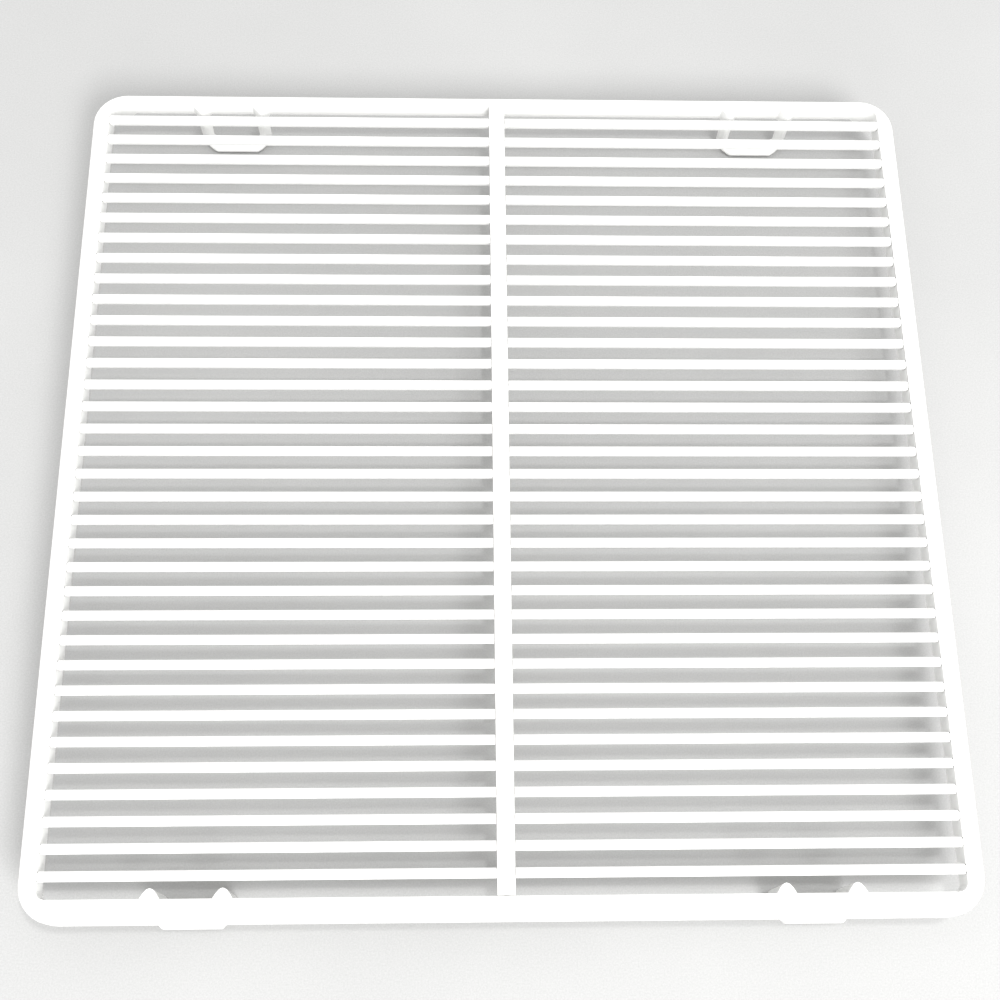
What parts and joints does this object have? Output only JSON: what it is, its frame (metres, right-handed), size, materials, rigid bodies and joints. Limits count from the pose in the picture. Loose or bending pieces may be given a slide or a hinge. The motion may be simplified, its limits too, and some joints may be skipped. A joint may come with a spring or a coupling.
{
  "type": "louvred air intake grille",
  "caption": "Square white moulded grille of fine straight slats in a rounded rim, with a centre bar, spring catch loops on one side and hinge hooks on the other.",
  "frame": {"origin": "under the middle of the square face, level with the rear ends of the loops and hooks that it lies on", "axes": "+Z out of the front face, +Y towards the side with the catch loops, +X to the right when the face is seen with the catch loops at the top"},
  "size_m": [0.5, 0.5, 0.04],
  "materials": {
    "rim": "satin white ABS, fine moulded texture",
    "centre_bar": "satin white ABS, fine moulded texture",
    "slats": "satin white ABS, fine moulded texture",
    "catches": "satin white ABS, slightly duller than the face",
    "hooks": "satin white ABS, slightly duller than the face"
  },
  "bodies": {
    "grille": {"rim": "rim", "centre_bar": "centre_bar", "slat_01": "slats", "slat_02": "slats", "slat_03": "slats", "slat_04": "slats", "slat_05": "slats", "slat_06": "slats", "slat_07": "slats", "slat_08": "slats", "slat_09": "slats", "slat_10": "slats", "slat_11": "slats", "slat_12": "slats", "slat_13": "slats", "slat_14": "slats", "slat_15": "slats", "slat_16": "slats", "slat_17": "slats", "slat_18": "slats", "slat_19": "slats", "slat_20": "slats", "slat_21": "slats", "slat_22": "slats", "slat_23": "slats", "slat_24": "slats", "slat_25": "slats", "slat_26": "slats", "slat_27": "slats", "slat_28": "slats", "slat_29": "slats", "slat_30": "slats", "slat_31": "slats", "slat_32": "slats", "slat_33": "slats", "slat_34": "slats", "hinge_hook_left": "hooks", "hinge_hook_right": "hooks"},
    "left_catch": {"catch_loop_left": "catches"},
    "right_catch": {"catch_loop_right": "catches"}
  },
  "joints": [
    {"name": "left_catch_flex", "type": "hinge", "parent": "grille", "child": "left_catch", "pos_m": [-0.166, 0.2384, 0.0285], "axis": [-1, 0, 0], "range_deg": [0, 4], "stiffness_Nm_per_rad": 5},
    {"name": "right_catch_flex", "type": "hinge", "parent": "grille", "child": "right_catch", "pos_m": [0.166, 0.2384, 0.0285], "axis": [-1, 0, 0], "range_deg": [0, 4], "stiffness_Nm_per_rad": 5}
  ]
}
